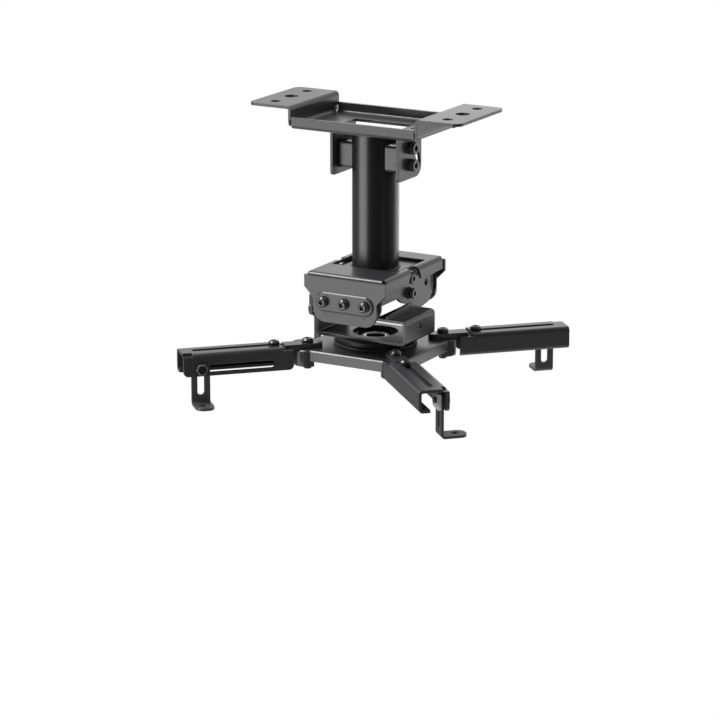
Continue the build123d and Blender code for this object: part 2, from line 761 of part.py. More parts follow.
# Arm: folded channel with a top slot, a lipped plain wall and a slotted outer wall
def make_arm(angle):
    length = arm_outer - arm_inner
    with BuildPart() as arm:
        with BuildSketch(section_plane(angle, arm_inner)):
            with BuildLine():
                FilletPolyline(
                    (arm_plain + arm_lip, arm_top - arm_plain_height),
                    (arm_plain, arm_top - arm_plain_height),
                    (arm_plain, arm_top),
                    (arm_slotted, arm_top),
                    (arm_slotted, arm_top - arm_slotted_height),
                    radius=bend,
                )
                offset(amount=sheet, side=Side.RIGHT)
            make_face()
        extrude(amount=length)
        # Slotted wall starts further out than the plain one
        with BuildSketch(plan_plane(angle, arm_top)):
            with Locations((arm_inner, arm_slotted)):
                Rectangle(2 * (slotted_inner - arm_inner), 2 * (arm_slotted - arm_notch_across))
        extrude(amount=-arm_slotted_height - gap, mode=Mode.SUBTRACT)
        # Corner notch that frees the outer end of the slotted wall
        with BuildSketch(section_plane(angle, arm_outer)):
            with Locations((arm_slotted, arm_top)):
                Rectangle(2 * (arm_slotted - arm_notch_across), 2 * arm_notch_drop)
        extrude(amount=-arm_notch, mode=Mode.SUBTRACT)
        # Flange cut back so that the link fits between the walls
        with BuildSketch(plan_plane(angle, flange_bottom)):
            with Locations((arm_inner, (arm_plain + arm_slotted) / 2)):
                Rectangle(2 * (flange_inner - arm_inner), 2 * (arm_slotted - arm_plain))
        extrude(amount=2 * sheet, mode=Mode.SUBTRACT)
        # Lip kept clear of the hub arm
        with BuildSketch(section_plane(angle, arm_inner)):
            with Locations((arm_plain + sheet + arm_lip, arm_top - arm_plain_height)):
                Rectangle(2 * arm_lip, 2 * (sheet + 0.1))
        extrude(amount=arm_lip_relief, mode=Mode.SUBTRACT)
        # Top slot
        with BuildSketch(plan_plane(angle, arm_top)):
            with Locations(((top_slot_start + top_slot_end) / 2, 0)):
                SlotOverall(top_slot_end - top_slot_start, top_slot_w)
        extrude(amount=-sheet - gap, mode=Mode.SUBTRACT)
        # Side slot
        with BuildSketch(wall_plane(angle, arm_slotted + 1)):
            with Locations(((side_slot_start + side_slot_end) / 2, slot_z)):
                SlotOverall(side_slot_end - side_slot_start, side_slot_w)
        extrude(amount=sheet + 2, mode=Mode.SUBTRACT)
        low = arm.edges().filter_by(lambda e: abs(e.length - sheet) < 0.01)
        low = low.filter_by(lambda e: abs(e.center().Z - arm_top + arm_slotted_height) < 0.01)
        fillet(low, arm_corner)
    return arm


# Hex bolt along the across direction that carries the foot
def make_foot_bolt(angle):
    with BuildPart() as bolt:
        with BuildSketch(wall_plane(angle, arm_slotted + gap)):
            with Locations((foot_radius, slot_z)):
                RegularPolygon(foot_head_flats / 2, 6, major_radius=False)
        extrude(amount=-foot_head_h)
        chamfer(bolt.faces().sort_by(Axis((0, 0, 0), across(angle)))[-1].edges(), head_chamfer)
        with BuildSketch(wall_plane(angle, arm_slotted + gap)):
            with Locations((foot_radius, slot_z)):
                Circle(foot_bolt_d / 2)
        extrude(amount=3 * gap + sheet + 2 * foot_sheet + 2)
    return bolt


foot_outer = arm_slotted - sheet - gap
foot_inner = foot_outer - foot_sheet


# Square clamp plate threaded on the foot bolt
def make_clamp_plate(angle):
    with BuildPart() as plate:
        with BuildSketch(wall_plane(angle, foot_inner - gap)):
            with Locations((foot_radius, slot_z)):
                RectangleRounded(clamp_plate, clamp_plate_h, 1)
                Circle(foot_bolt_d / 2 + pin_fit, mode=Mode.SUBTRACT)
        extrude(amount=foot_sheet)
    return plate


# Foot: slotted upright with an outward toe
def make_foot(angle):
    top = slot_z + foot_slot_w / 2 + foot_top_margin
    with BuildPart() as foot:
        with BuildSketch(section_plane(angle, foot_radius - foot_width / 2)):
            with BuildLine():
                FilletPolyline(
                    (foot_inner, top),
                    (foot_inner, foot_bottom),
                    (foot_outer + toe_reach, foot_bottom),
                    radius=bend,
                )
                offset(amount=foot_sheet, side=Side.LEFT)
            make_face()
        extrude(amount=foot_width)
        with BuildSketch(wall_plane(angle, foot_outer + 1)):
            with Locations((foot_radius, (slot_z + foot_slot_w / 2 + foot_slot_bottom) / 2)):
                SlotOverall(slot_z + foot_slot_w / 2 - foot_slot_bottom, foot_slot_w, rotation=90)
        extrude(amount=foot_sheet + 2, mode=Mode.SUBTRACT)
        with BuildSketch(plan_plane(angle, foot_bottom)):
            with Locations((foot_radius, foot_outer + toe_hole_from_plate)):
                Circle(toe_hole_d / 2)
        extrude(amount=foot_sheet, mode=Mode.SUBTRACT)
        tips = foot.edges().filter_by(Axis.Z).filter_by(lambda e: abs(e.length - foot_sheet) < 0.01)
        fillet(tips, foot_width * 0.42)
    return foot


for name, angle in zip(arm_names, arm_angles):
    save(make_link(angle), "link_" + name)
    save(make_clamp_bolt(angle), "clamp_bolt_" + name)
    save(make_clamp_nut(angle), "clamp_nut_" + name)
    save(make_arm(angle), "arm_" + name)
    save(make_foot_bolt(angle), "foot_bolt_" + name)
    save(make_clamp_plate(angle), "foot_clamp_plate_" + name)
    save(make_foot(angle), "foot_" + name)
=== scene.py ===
import math

import bpy
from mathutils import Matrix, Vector


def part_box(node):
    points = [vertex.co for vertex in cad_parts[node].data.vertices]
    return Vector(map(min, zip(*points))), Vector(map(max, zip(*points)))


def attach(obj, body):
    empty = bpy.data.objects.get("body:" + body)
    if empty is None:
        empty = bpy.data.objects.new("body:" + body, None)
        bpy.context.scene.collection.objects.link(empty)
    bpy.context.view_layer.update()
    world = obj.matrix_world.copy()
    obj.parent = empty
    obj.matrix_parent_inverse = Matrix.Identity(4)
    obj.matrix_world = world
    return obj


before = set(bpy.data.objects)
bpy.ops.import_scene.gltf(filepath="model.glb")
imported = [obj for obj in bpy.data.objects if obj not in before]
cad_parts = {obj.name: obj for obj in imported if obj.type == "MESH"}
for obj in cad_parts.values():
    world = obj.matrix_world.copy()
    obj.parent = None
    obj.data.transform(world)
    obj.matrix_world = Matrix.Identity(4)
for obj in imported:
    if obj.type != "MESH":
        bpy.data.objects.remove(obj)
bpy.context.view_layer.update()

bl_info = {
    "name": "Ceiling Mount Dresser",
    "version": (1, 0, 0),
    "blender": (4, 5, 0),
    "location": "3D View > Sidebar > Ceiling Mount",
    "description": "Finishes, fastener and sheet details and a studio stage for a black ceiling mount",
    "category": "Object",
}

MM = 0.001
X_AXIS, Y_AXIS, Z_AXIS = 0, 1, 2
ARMS = ("front", "right", "back", "left")

# Which nodes take which finish
SHEET_NODES = (
    ["ceiling_bracket", "post_foot_plate", "upper_yoke", "roll_cradle", "swivel_tray", "hub"]
    + [kind + arm for kind in ("link_", "arm_") for arm in ARMS]
)
FOOT_NODES = ["foot_" + arm for arm in ARMS]
POST_NODES = ["post_tube", "post_blocks"]
SCREW_NODES = (
    ["tilt_pivot_screws", "tilt_lock_screws"]
    + ["roll_pivot_screws", "roll_lock_screws", "roll_nuts"]
    + ["pitch_pivot_screws", "pitch_lock_screws", "pitch_washers"]
    + ["arm_pivot_bolts", "arm_pivot_nuts"]
    + [kind + arm for kind in ("clamp_bolt_", "clamp_nut_") for arm in ARMS]
)
FOOT_BOLT_NODES = ["foot_bolt_" + arm for arm in ARMS]
ZINC_NODES = ["foot_clamp_plate_" + arm for arm in ARMS]
BEARING_NODES = ["swivel_disc", "swivel_ring"]
BOSS_NODE = "swivel_boss"

# How uneven a sprayed coat and a turned face are
PATCH_LIFT = 1.25
GRAIN_HEIGHT = 0.2 * MM
RING_LIFT = 1.4
RING_HEIGHT = 0.1 * MM
RING_BUMP = 0.12
RING_PITCH = 0.6 * MM

# Painted highlight on the lip of the boss's bore
BORE_HIGHLIGHT_DEPTH = 1.5 * MM
BORE_HIGHLIGHT_RADIUS = 9.0 * MM

# Socket heads: depth is from the head's face to the middle of its knurl
TILT_HEAD = {"radius": 5.0 * MM, "knurl": 3.6 * MM, "depth": 3.3 * MM}
PITCH_HEAD = {"radius": 4.25 * MM, "knurl": 2.6 * MM, "depth": 2.4 * MM}
ROLL_HEAD = {"radius": 4.25 * MM, "knurl": 2.2 * MM, "depth": 2.6 * MM}

# Threads of the arm pivot bolts, between a plain tip and the nut
PIVOT_CIRCLE = 57.3 * MM
BOLT_RADIUS = 3.0 * MM
BOLT_CREST = 0.3 * MM
BOLT_TIP = 0.6 * MM
NUT_GAP = 0.5 * MM

# Threads in the holes of the tray's walls
WALL_HOLE_HEIGHT = -177.0 * MM
WALL_HOLE_RADIUS = 2.6 * MM
WALL_HOLE_CREST = 0.45 * MM
WALL_HOLE_PITCH = 0.8 * MM
WALL_HOLE_INSET = 0.4 * MM
WALL_HOLE_CRESTS = 3

# Weld round the post's foot, with shares of the bead's radius
WELD_START = math.radians(-38)
WELD_STOP = math.radians(218)
WELD_BEADS = 84
BEAD_SHARES = (0.88, 1.05)
BEAD_STANDOFF = 0.25
BEAD_LIFT = 0.1

# Raised pads on the yoke's tongues
PAD_RADIUS = 7.0 * MM
PAD_RISE = 1.5 * MM
PAD_SLOPE = 1.2 * MM
PAD_SUNK = 0.04 * MM
PAD_STEPS = 20
PAD_CREASE = math.radians(30)

# Lips on the tray's flanges, in side view: along Y, then heights
LIP_SHEET = 2.4 * MM
LIP_PLAY = 0.1 * MM
LIP_FRONT = -30.5 * MM
LIP_FLANGE_FRONT = -24.8 * MM
LIP_BACK = 8.0 * MM
LIP_FOOT = -168.6 * MM
LIP_FRONT_FOOT = -166.6 * MM
LIP_FRONT_TOP = -163.2 * MM
LIP_BACK_TOP = -161.1 * MM
LIP_CORNER = 1.2 * MM

# Punch marks on the tongues
PUNCH_RADIUS = 0.7 * MM
PUNCH_FLATNESS = 0.35
PUNCH_REACH = 17.3 * MM
PUNCH_HEIGHTS = (-144.9 * MM, -163.0 * MM)

# Stage
FLOOR_HALF = 2.6
FLOOR_GREY = 0.9
FLOOR_GLOW_SHARE = 0.9
SENSOR_WIDTH = 36.0
WORLD_LIGHT = 0.45
WHITE = (1, 1, 1, 1)


class CoatSettings(bpy.types.PropertyGroup):
    sheet_colour: bpy.props.FloatVectorProperty(
        name="Sheet coat", description="Colour of the powder coat on the folded sheet",
        default=(0.030, 0.030, 0.032), size=3, subtype="COLOR", min=0, max=1,
    )
    foot_colour: bpy.props.FloatVectorProperty(
        name="Foot coat", description="Colour of the flatter coat on the feet",
        default=(0.046, 0.046, 0.048), size=3, subtype="COLOR", min=0, max=1,
    )
    post_colour: bpy.props.FloatVectorProperty(
        name="Post coat", description="Colour of the smooth coat on the post",
        default=(0.009, 0.009, 0.010), size=3, subtype="COLOR", min=0, max=1,
    )
    oxide_colour: bpy.props.FloatVectorProperty(
        name="Black oxide", description="Colour of the fasteners' black oxide",
        default=(0.012, 0.012, 0.013), size=3, subtype="COLOR", min=0, max=1,
    )
    plastic_colour: bpy.props.FloatVectorProperty(
        name="Bearing plastic", description="Colour of the swivel disc and ring",
        default=(0.010, 0.010, 0.011), size=3, subtype="COLOR", min=0, max=1,
    )
    zinc_colour: bpy.props.FloatVectorProperty(
        name="Zinc plate", description="Colour of the clamp plates inside the arms",
        default=(0.68, 0.69, 0.70), size=3, subtype="COLOR", min=0, max=1,
    )
    steel_colour: bpy.props.FloatVectorProperty(
        name="Turned steel", description="Colour of the swivel boss",
        default=(0.026, 0.026, 0.027), size=3, subtype="COLOR", min=0, max=1,
    )
    grain_size: bpy.props.FloatProperty(
        name="Grain size", description="Size of one bump of the powder coat",
        default=1.1 * MM, min=0.0002, unit="LENGTH",
    )
    edge_radius: bpy.props.FloatProperty(
        name="Edge radius", description="How far the coat rounds a sheared edge",
        default=0.6 * MM, min=0.0001, unit="LENGTH",
    )


class DetailSettings(bpy.types.PropertyGroup):
    thread_pitch: bpy.props.FloatProperty(
        name="Thread pitch", description="Distance between two thread crests on the pivot bolts",
        default=1.0 * MM, min=0.0002, unit="LENGTH",
    )
    knurl_count: bpy.props.IntProperty(
        name="Knurl ridges", description="Ridges round one socket head", default=36, min=8, max=80,
    )
    knurl_rise: bpy.props.FloatProperty(
        name="Knurl rise", description="How far a knurl ridge stands off the head",
        default=0.12 * MM, min=0.0, unit="LENGTH",
    )
    weld_bead: bpy.props.FloatProperty(
        name="Weld bead", description="Radius of the weld round the post's foot",
        default=1.1 * MM, min=0.0002, unit="LENGTH",
    )


class StageSettings(bpy.types.PropertyGroup):
    lens: bpy.props.FloatProperty(
        name="Lens", description="Focal length of the camera in millimetres", default=160.0, min=10,
    )
    eye: bpy.props.FloatVectorProperty(
        name="Camera place", description="Where the camera stands",
        default=(1.2238, -2.2020, 0.4819), size=3, subtype="TRANSLATION", unit="LENGTH",
    )
    target: bpy.props.FloatVectorProperty(
        name="Camera target", description="Point in the middle of the picture",
        default=(-0.01104, -0.00621, -0.2114), size=3, subtype="TRANSLATION", unit="LENGTH",
    )
    floor_drop: bpy.props.FloatProperty(
        name="Floor drop", description="Height of the floor below the ceiling plane",
        default=2.4, min=0.3, unit="LENGTH",
    )


def coat():
    return bpy.context.scene.mount_coat


def detail():
    return bpy.context.scene.mount_detail


# Nodes that any tree can use


def add_node(tree, kind, links=None, **values):
    """A node with its settings and plain values, and links from other nodes' sockets."""
    node = tree.nodes.new(kind)
    for key, value in values.items():
        if hasattr(node, key):
            setattr(node, key, value)
        else:
            node.inputs[key.replace("_", " ")].default_value = value
    for socket, source in (links or {}).items():
        tree.links.new(source, node.inputs[socket])
    return node


def feed(tree, socket, value):
    """Links a socket to another, or sets it to a plain value."""
    if isinstance(value, bpy.types.NodeSocket):
        tree.links.new(value, socket)
    else:
        socket.default_value = value


def math_node(tree, operation, first, second):
    node = tree.nodes.new("ShaderNodeMath")
    node.operation = operation
    for socket, value in zip(node.inputs, (first, second)):
        feed(tree, socket, value)
    return node.outputs[0]


def vector_node(tree, operation, *vectors):
    """The number that a vector operation gives."""
    node = tree.nodes.new("ShaderNodeVectorMath")
    node.operation = operation
    for socket, vector in zip(node.inputs, vectors):
        feed(tree, socket, vector)
    return node.outputs["Value"]


def map_range(tree, value, given, wanted):
    """A value carried from one range to another."""
    node = add_node(tree, "ShaderNodeMapRange", {"Value": value})
    for label, number in zip(("From Min", "From Max", "To Min", "To Max"), (*given, *wanted)):
        node.inputs[label].default_value = number
    return node.outputs["Result"]


def mix_colours(tree, mask, first, second):
    """Colour between two, by a mask; each is a socket or four numbers."""
    node = tree.nodes.new("ShaderNodeMix")
    node.data_type = "RGBA"
    for label, value in (("Factor", mask), ("A", first), ("B", second)):
        feed(tree, node.inputs[label], value)
    return node.outputs["Result"]


def mix_shaders(tree, share, first, second):
    """Two shaders, mixed by the share of the second."""
    node = tree.nodes.new("ShaderNodeMixShader")
    for socket, source in zip(node.inputs, (share, first, second)):
        tree.links.new(source, socket)
    return node.outputs[0]


def object_place(tree):
    return tree.nodes.new("ShaderNodeTexCoord").outputs["Object"]


# Shader groups that the finishes share


def new_group(name, inputs, outputs):
    tree = bpy.data.node_groups.new(name, "ShaderNodeTree")
    for label, default in inputs:
        socket = tree.interface.new_socket(label, in_out="INPUT", socket_type="NodeSocketFloat")
        socket.default_value = default
    for label, kind in outputs:
        tree.interface.new_socket(label, in_out="OUTPUT", socket_type=kind)
    source = tree.nodes.new("NodeGroupInput")
    sink = tree.nodes.new("NodeGroupOutput")
    return tree, source.outputs, sink.inputs


def coat_grain_group():
    """Fine bumps of a sprayed coat, with slow patches of gloss."""
    tree, given, wanted = new_group(
        "coat_grain",
        [("Grain Size", 1.1 * MM), ("Patch Size", 60 * MM)],
        [("Height", "NodeSocketFloat"), ("Patch", "NodeSocketFloat")],
    )
    place = object_place(tree)
    for size, detail_level, output in (("Grain Size", 2.0, "Height"), ("Patch Size", 3.0, "Patch")):
        scale = math_node(tree, "DIVIDE", 1.0, given[size])
        links = {"Vector": place, "Scale": scale}
        noise = add_node(tree, "ShaderNodeTexNoise", links, Detail=detail_level)
        tree.links.new(noise.outputs["Fac"], wanted[output])


def soft_edge_group():
    """Rounded normal at sheared edges and a mask of the edges, which the finishes lighten as wear and
    as a painted highlight.
    """
    flat_dot, edge_dot = 0.985, 0.90
    tree, given, wanted = new_group(
        "soft_edge",
        [("Radius", 0.6 * MM)],
        [("Normal", "NodeSocketVector"), ("Mask", "NodeSocketFloat")],
    )
    bevel = add_node(tree, "ShaderNodeBevel", {"Radius": given["Radius"]}, samples=6)
    rounded = bevel.outputs["Normal"]
    flat = tree.nodes.new("ShaderNodeNewGeometry").outputs["Normal"]
    lean = vector_node(tree, "DOT_PRODUCT", rounded, flat)
    tree.links.new(rounded, wanted["Normal"])
    tree.links.new(map_range(tree, lean, (flat_dot, edge_dot), (0, 1)), wanted["Mask"])


def lathe_lines_group():
    """Fine rings round the post axis, as a lathe leaves them."""
    wave_length = 0.31
    tree, given, wanted = new_group(
        "lathe_lines", [("Pitch", 0.8 * MM)], [("Height", "NodeSocketFloat")]
    )
    scale = math_node(tree, "DIVIDE", wave_length, given["Pitch"])
    wave = add_node(
        tree, "ShaderNodeTexWave", {"Vector": object_place(tree), "Scale": scale},
        wave_type="RINGS", rings_direction="Z", Distortion=0.6, Detail=2.0,
    )
    tree.links.new(wave.outputs["Fac"], wanted["Height"])


def bore_highlight_group():
    """Mask of the lip of a bore on the post axis, where a highlight is painted: near its top and
    inside a radius.
    """
    tree, given, wanted = new_group(
        "bore_lip_highlight",
        [("Top", 0.0), ("Depth", 1.0 * MM), ("Radius", 10.0 * MM)],
        [("Mask", "NodeSocketFloat")],
    )
    split = add_node(tree, "ShaderNodeSeparateXYZ", {"Vector": object_place(tree)})
    sideways = {"X": split.outputs["X"], "Y": split.outputs["Y"]}
    flat = add_node(tree, "ShaderNodeCombineXYZ", sideways)
    away = vector_node(tree, "LENGTH", flat.outputs["Vector"])
    floor = math_node(tree, "SUBTRACT", given["Top"], given["Depth"])
    high = math_node(tree, "GREATER_THAN", split.outputs["Z"], floor)
    near = math_node(tree, "LESS_THAN", away, given["Radius"])
    tree.links.new(math_node(tree, "MULTIPLY", high, near), wanted["Mask"])


# Finishes


def start_material(name):
    material = bpy.data.materials.new(name)
    material.use_nodes = True
    tree = material.node_tree
    return material, tree, tree.nodes["Principled BSDF"]


def use_group(tree, group, **values):
    node = tree.nodes.new("ShaderNodeGroup")
    node.node_tree = bpy.data.node_groups[group]
    for key, value in values.items():
        node.inputs[key.replace("_", " ")].default_value = value
    return node.outputs


def lifted(colour, times):
    """A colour made lighter, with its alpha."""
    return (*[min(1, part * times) for part in colour], 1)


def dress(tree, shader, colour, roughness, height, normal, bump, bump_height):
    """Links a finish's colour, roughness and bumps to its shader."""
    bumps = add_node(
        tree, "ShaderNodeBump", {"Height": height, "Normal": normal},
        Strength=bump, Distance=bump_height,
    )
    tree.links.new(colour, shader.inputs["Base Color"])
    tree.links.new(roughness, shader.inputs["Roughness"])
    tree.links.new(bumps.outputs["Normal"], shader.inputs["Normal"])


def coated(name, colour, rough, grain, edge, bump, wear_and_highlight_lift, metallic=0.0, ior=1.5):
    """A sprayed or plated coat: grain, patches of gloss, and edges lightened as wear and as a painted
    highlight.
    """
    material, tree, shader = start_material(name)
    shader.inputs["Metallic"].default_value = metallic
    shader.inputs["IOR"].default_value = ior
    grains = use_group(tree, "coat_grain", Grain_Size=grain)
    edges = use_group(tree, "soft_edge", Radius=edge)
    body = mix_colours(tree, grains["Patch"], lifted(colour, 1), lifted(colour, PATCH_LIFT))
    # Edges lightened partly as wear, partly as a painted highlight
    worn_and_highlit = mix_colours(tree, edges["Mask"], body, lifted(colour, wear_and_highlight_lift))
    gloss = map_range(tree, grains["Patch"], (0, 1), rough)
    dress(tree, shader, worn_and_highlit, gloss, grains["Height"], edges["Normal"], bump, GRAIN_HEIGHT)
    return material


def turned(name, colour, metallic, rough, edge, wear_and_highlight_lift, lip_top):
    """Turned metal with fine rings, dark but for a painted highlight on its edges and on its bore's
    lip.
    """
    material, tree, shader = start_material(name)
    shader.inputs["Metallic"].default_value = metallic
    rings = use_group(tree, "lathe_lines", Pitch=RING_PITCH)
    edges = use_group(tree, "soft_edge", Radius=edge)
    lip = use_group(tree, "bore_lip_highlight", Top=lip_top, Depth=BORE_HIGHLIGHT_DEPTH, Radius=BORE_HIGHLIGHT_RADIUS)
    # Painted highlight: the edges and the bore's lip are lifted towards white
    painted_highlight_mask = math_node(tree, "MAXIMUM", edges["Mask"], lip["Mask"])
    body = mix_colours(tree, rings["Height"], lifted(colour, 1), lifted(colour, RING_LIFT))
    worn_and_highlit = mix_colours(tree, painted_highlight_mask, body, lifted(colour, wear_and_highlight_lift))
    gloss = map_range(tree, rings["Height"], (0, 1), rough)
    dress(tree, shader, worn_and_highlit, gloss, rings["Height"], edges["Normal"], RING_BUMP, RING_HEIGHT)
    return material


def paint(nodes, material):
    for name in nodes:
        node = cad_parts[name]
        node.data.materials.clear()
        node.data.materials.append(material)


class MOUNT_OT_shared_effects(bpy.types.Operator):
    """Builds the shader groups that the finishes share"""
    bl_idname = "mount.shared_effects"
    bl_label = "Shared effects"

    def execute(self, context):
        coat_grain_group()
        soft_edge_group()
        lathe_lines_group()
        bore_highlight_group()
        return {"FINISHED"}


class MOUNT_OT_sheet(bpy.types.Operator):
    """Satin powder coat on every folded sheet piece, a flatter one on the feet"""
    bl_idname = "mount.sheet"
    bl_label = "Sheet pieces"

    def execute(self, context):
        c = coat()
        paint(SHEET_NODES, coated(
            "satin_powder_coat", c.sheet_colour, rough=(0.26, 0.34),
            grain=c.grain_size, edge=c.edge_radius, bump=0.07, wear_and_highlight_lift=2.2,
        ))
        paint(FOOT_NODES, coated(
            "flat_powder_coat", c.foot_colour, rough=(0.40, 0.48),
            grain=c.grain_size, edge=c.edge_radius, bump=0.07, wear_and_highlight_lift=2.0,
        ))
        return {"FINISHED"}


class MOUNT_OT_post(bpy.types.Operator):
    """Smooth coat on the post and its blocks"""
    bl_idname = "mount.post"
    bl_label = "Post"

    def execute(self, context):
        c = coat()
        paint(POST_NODES, coated(
            "smooth_post_coat", c.post_colour, rough=(0.27, 0.33),
            grain=0.6 * c.grain_size, edge=c.edge_radius, bump=0.04, wear_and_highlight_lift=2.0, ior=1.6,
        ))
        return {"FINISHED"}


class MOUNT_OT_fasteners(bpy.types.Operator):
    """Black oxide on the screws, bolts, nuts and washers, bright zinc on the clamp plates"""
    bl_idname = "mount.fasteners"
    bl_label = "Fasteners"

    def execute(self, context):
        c = coat()
        # The big edge lift paints a bright highlight on every fastener's edges
        paint(SCREW_NODES, coated(
            "black_oxide", c.oxide_colour, rough=(0.16, 0.26),
            grain=0.5 * c.grain_size, edge=0.8 * c.edge_radius, bump=0.05, wear_and_highlight_lift=22.0,
        ))
        # A still bigger lift paints a bright highlight round the foot bolts' rims
        paint(FOOT_BOLT_NODES, coated(
            "oxide_with_painted_rim_highlight", c.oxide_colour, rough=(0.20, 0.30),
            grain=0.5 * c.grain_size, edge=1.7 * c.edge_radius, bump=0.05, wear_and_highlight_lift=34.0,
        ))
        paint(ZINC_NODES, coated(
            "zinc_plate", c.zinc_colour, rough=(0.34, 0.46),
            grain=c.grain_size, edge=c.edge_radius, bump=0.05, wear_and_highlight_lift=1.3, metallic=0.5,
        ))
        return {"FINISHED"}


class MOUNT_OT_swivel(bpy.types.Operator):
    """Bearing plastic on the disc and ring, turned steel on the boss"""
    bl_idname = "mount.swivel"
    bl_label = "Swivel"

    def execute(self, context):
        c = coat()
        paint(BEARING_NODES, coated(
            "bearing_plastic", c.plastic_colour, rough=(0.38, 0.50),
            grain=0.8 * c.grain_size, edge=c.edge_radius, bump=0.06, wear_and_highlight_lift=2.0,
        ))
        boss_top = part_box(BOSS_NODE)[1][Z_AXIS]
        # The boss's edges and bore lip are lifted near to white as a painted highlight
        paint([BOSS_NODE], turned(
            "turned_steel", c.steel_colour, metallic=1.0, rough=(0.24, 0.32),
            edge=c.edge_radius, wear_and_highlight_lift=38.0, lip_top=boss_top,
        ))
        return {"FINISHED"}


# Geometry trees for the details that repeat


class GeoTree:
    """A geometry tree with its group input and output."""

    def __init__(self, name, inputs):
        self.tree = bpy.data.node_groups.new(name, "GeometryNodeTree")
        sockets = self.tree.interface
        sockets.new_socket("Places", in_out="INPUT", socket_type="NodeSocketGeometry")
        for label, kind, default in inputs:
            socket = sockets.new_socket(label, in_out="INPUT", socket_type=kind)
            socket.default_value = default
        sockets.new_socket("Material", in_out="INPUT", socket_type="NodeSocketMaterial")
        sockets.new_socket("Mesh", in_out="OUTPUT", socket_type="NodeSocketGeometry")
        self.given = self.tree.nodes.new("NodeGroupInput").outputs
        self.wanted = self.tree.nodes.new("NodeGroupOutput").inputs

    def add(self, kind, links=None, **values):
        return add_node(self.tree, kind, links, **values)

    def copies(self, points, instance):
        """Real copies of a mesh, one at each point."""
        links = {"Points": points, "Instance": instance}
        spread = self.add("GeometryNodeInstanceOnPoints", links)
        return self.add("GeometryNodeRealizeInstances", {"Geometry": spread.outputs[0]}).outputs[0]

    def rotated(self, mesh):
        links = {"Geometry": mesh, "Rotation": self.given["Turn"]}
        return self.add("GeometryNodeTransform", links).outputs[0]

    def finish(self, mesh, **extra):
        """Puts the mesh at each place, real and with its material."""
        links = {"Points": self.given["Places"], "Instance": mesh, **extra}
        placed = self.add("GeometryNodeInstanceOnPoints", links)
        real = self.add("GeometryNodeRealizeInstances", {"Geometry": placed.outputs[0]})
        links = {"Geometry": real.outputs[0], "Material": self.given["Material"]}
        dressed = self.add("GeometryNodeSetMaterial", links)
        self.tree.links.new(dressed.outputs[0], self.wanted["Mesh"])
        return self.tree


def knurl_tree():
    """A ring of fine ridges round each place, about Z before its turn."""
    made = GeoTree("socket_knurl", [
        ("Radius", "NodeSocketFloat", 5.0 * MM),
        ("Rise", "NodeSocketFloat", 0.1 * MM),
        ("Length", "NodeSocketFloat", 3.0 * MM),
        ("Count", "NodeSocketInt", 36),
        ("Turn", "NodeSocketVector", (0, 0, 0)),
    ])
    given = made.given
    links = {"Radius": given["Radius"], "Resolution": given["Count"]}
    ring = made.add("GeometryNodeCurvePrimitiveCircle", links)
    links = {"Curve": ring.outputs["Curve"], "Count": given["Count"]}
    spots = made.add("GeometryNodeCurveToPoints", links, mode="COUNT")
    links = {"Radius": given["Rise"], "Depth": given["Length"]}
    ridge = made.add("GeometryNodeMeshCylinder", links, Vertices=6)
    ridges = made.copies(spots.outputs["Points"], ridge.outputs["Mesh"])
    return made.finish(made.rotated(ridges))


def thread_tree():
    """A stack of thread crests from each place, along Z before its turn."""
    made = GeoTree("thread_crests", [
        ("Radius", "NodeSocketFloat", 3.0 * MM),
        ("Crest", "NodeSocketFloat", 0.3 * MM),
        ("Pitch", "NodeSocketFloat", 1.0 * MM),
        ("Count", "NodeSocketInt", 3),
        ("Turn", "NodeSocketVector", (0, 0, 0)),
    ])
    given = made.given
    circle = "GeometryNodeCurvePrimitiveCircle"
    ring = made.add(circle, {"Radius": given["Radius"]}, Resolution=32)
    profile = made.add(circle, {"Radius": given["Crest"]}, Resolution=8)
    links = {"Curve": ring.outputs["Curve"], "Profile Curve": profile.outputs["Curve"]}
    crest = made.add("GeometryNodeCurveToMesh", links)
    step = made.add("ShaderNodeCombineXYZ", {"Z": given["Pitch"]})
    links = {"Count": given["Count"], "Offset": step.outputs[0]}
    line = made.add("GeometryNodeMeshLine", links)
    stack = made.copies(line.outputs["Mesh"], crest.outputs["Mesh"])
    return made.finish(made.rotated(stack))


def weld_tree():
    """Overlapping weld beads of uneven size, one at each place."""
    made = GeoTree("weld_beads", [
        ("Bead", "NodeSocketFloat", 1.1 * MM), ("Seed", "NodeSocketInt", 4),
    ])
    links = {"Radius": made.given["Bead"]}
    bead = made.add("GeometryNodeMeshUVSphere", links, Segments=12, Rings=8)
    size = made.add("FunctionNodeRandomValue", {"Seed": made.given["Seed"]}, data_type="FLOAT")
    # A random value has its float limits at 2 and 3, and its float output at 1
    size.inputs[2].default_value, size.inputs[3].default_value = BEAD_SHARES
    return made.finish(bead.outputs["Mesh"], Scale=size.outputs[1])


def dot_tree():
    """A flattened dot at each place, facing along Y."""
    made = GeoTree("punch_dots", [("Radius", "NodeSocketFloat", 0.6 * MM)])
    links = {"Radius": made.given["Radius"]}
    ball = made.add("GeometryNodeMeshUVSphere", links, Segments=14, Rings=8)
    flat = made.add(
        "GeometryNodeTransform", {"Geometry": ball.outputs["Mesh"]}, Scale=(1, PUNCH_FLATNESS, 1),
    )
    return made.finish(flat.outputs[0])


def keep_piece(name, mesh, body):
    """Links a mesh as a piece that rides on a body."""
    piece = bpy.data.objects.new(name, mesh)
    bpy.context.scene.collection.objects.link(piece)
    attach(piece, body)


